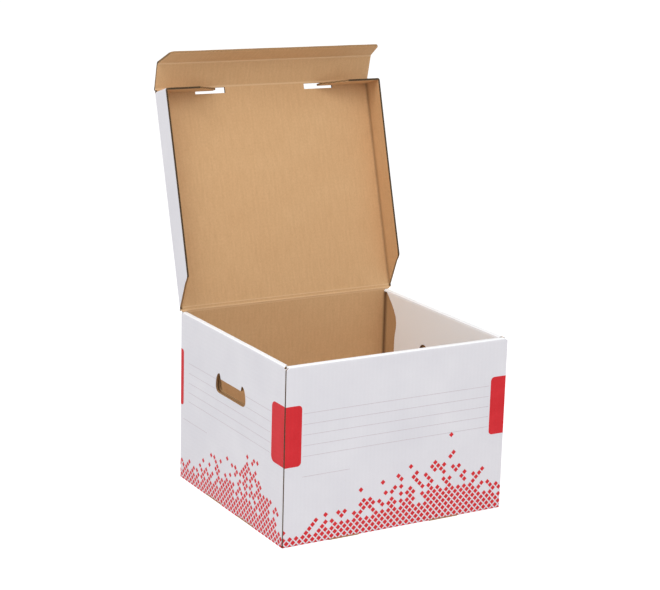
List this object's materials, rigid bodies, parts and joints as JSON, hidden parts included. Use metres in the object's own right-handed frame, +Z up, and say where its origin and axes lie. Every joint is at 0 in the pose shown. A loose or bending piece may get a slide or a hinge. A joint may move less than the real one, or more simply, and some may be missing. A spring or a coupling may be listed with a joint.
{
  "type": "archive transport box",
  "caption": "Corrugated board archive box with doubled walls, hand holes and an attached lid with a front flap and a tuck flap.",
  "frame": {"origin": "middle of the tray's underside, on the surface that the box stands on", "axes": "+X to the right along the front wall, +Y from the front wall to the back wall, +Z up"},
  "size_m": [0.374, 0.4235, 0.6489],
  "materials": {
    "tray_board": "white-lined corrugated board, matt",
    "lid_board": "brown kraft inside and white outside, matt",
    "flap_board": "brown kraft inside and white outside, matt",
    "tuck_board": "brown kraft inside and white outside, matt"
  },
  "bodies": {
    "tray": {"tray": "tray_board"},
    "lid": {"lid": "lid_board"},
    "front_flap": {"lid_front_flap": "flap_board"},
    "tuck_flap": {"lid_tuck_flap": "tuck_board"}
  },
  "joints": [
    {"name": "lid_hinge", "type": "hinge", "parent": "tray", "child": "lid", "pos_m": [0, 0.1635, 0.2648], "axis": [-1, 0, 0], "range_deg": [-106.2, 82]},
    {"name": "front_flap_crease", "type": "hinge", "parent": "lid", "child": "front_flap", "pos_m": [0, 0.2555, 0.58739], "axis": [1, 0, 0], "range_deg": [-29, 61]},
    {"name": "tuck_flap_crease", "type": "hinge", "parent": "front_flap", "child": "tuck_flap", "pos_m": [0, 0.24642, 0.62737], "axis": [1, 0, 0], "range_deg": [-48, 132]}
  ]
}
